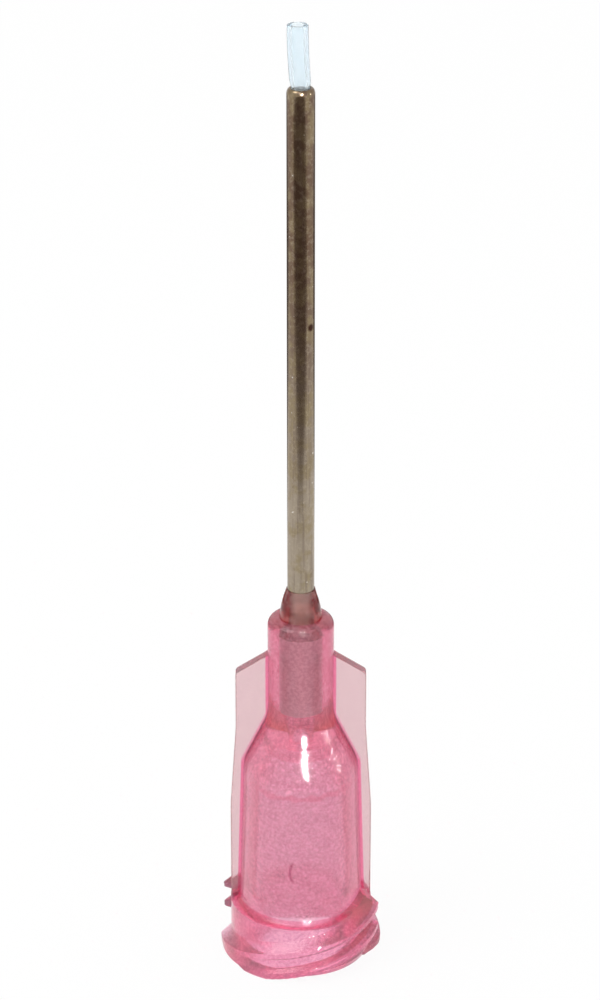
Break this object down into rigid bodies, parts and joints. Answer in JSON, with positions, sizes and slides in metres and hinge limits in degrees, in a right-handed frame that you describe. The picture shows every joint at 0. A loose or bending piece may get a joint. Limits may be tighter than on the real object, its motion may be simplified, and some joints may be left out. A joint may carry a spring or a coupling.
{
  "type": "dispensing needle tip",
  "caption": "Luer-lock dispensing tip: translucent pink winged hub, glued stainless steel cannula and a clear liner tube that sticks out of its end.",
  "frame": {"origin": "centre of the hub's open mouth, on the plane that the tip stands on", "axes": "+Z along the cannula towards its tip; the two wings lie in the X-Z plane"},
  "size_m": [0.0078, 0.0078, 0.0465],
  "materials": {
    "hub_plastic": "translucent pink polypropylene, lightly frosted",
    "cannula_steel": "drawn stainless steel, satin",
    "liner_plastic": "translucent bluish-white fluoropolymer",
    "adhesive_resin": "cured red-tinted epoxy, glossy"
  },
  "bodies": {
    "root": {"hub": "hub_plastic", "cannula": "cannula_steel", "liner": "liner_plastic", "adhesive": "adhesive_resin"}
  },
  "joints": []
}
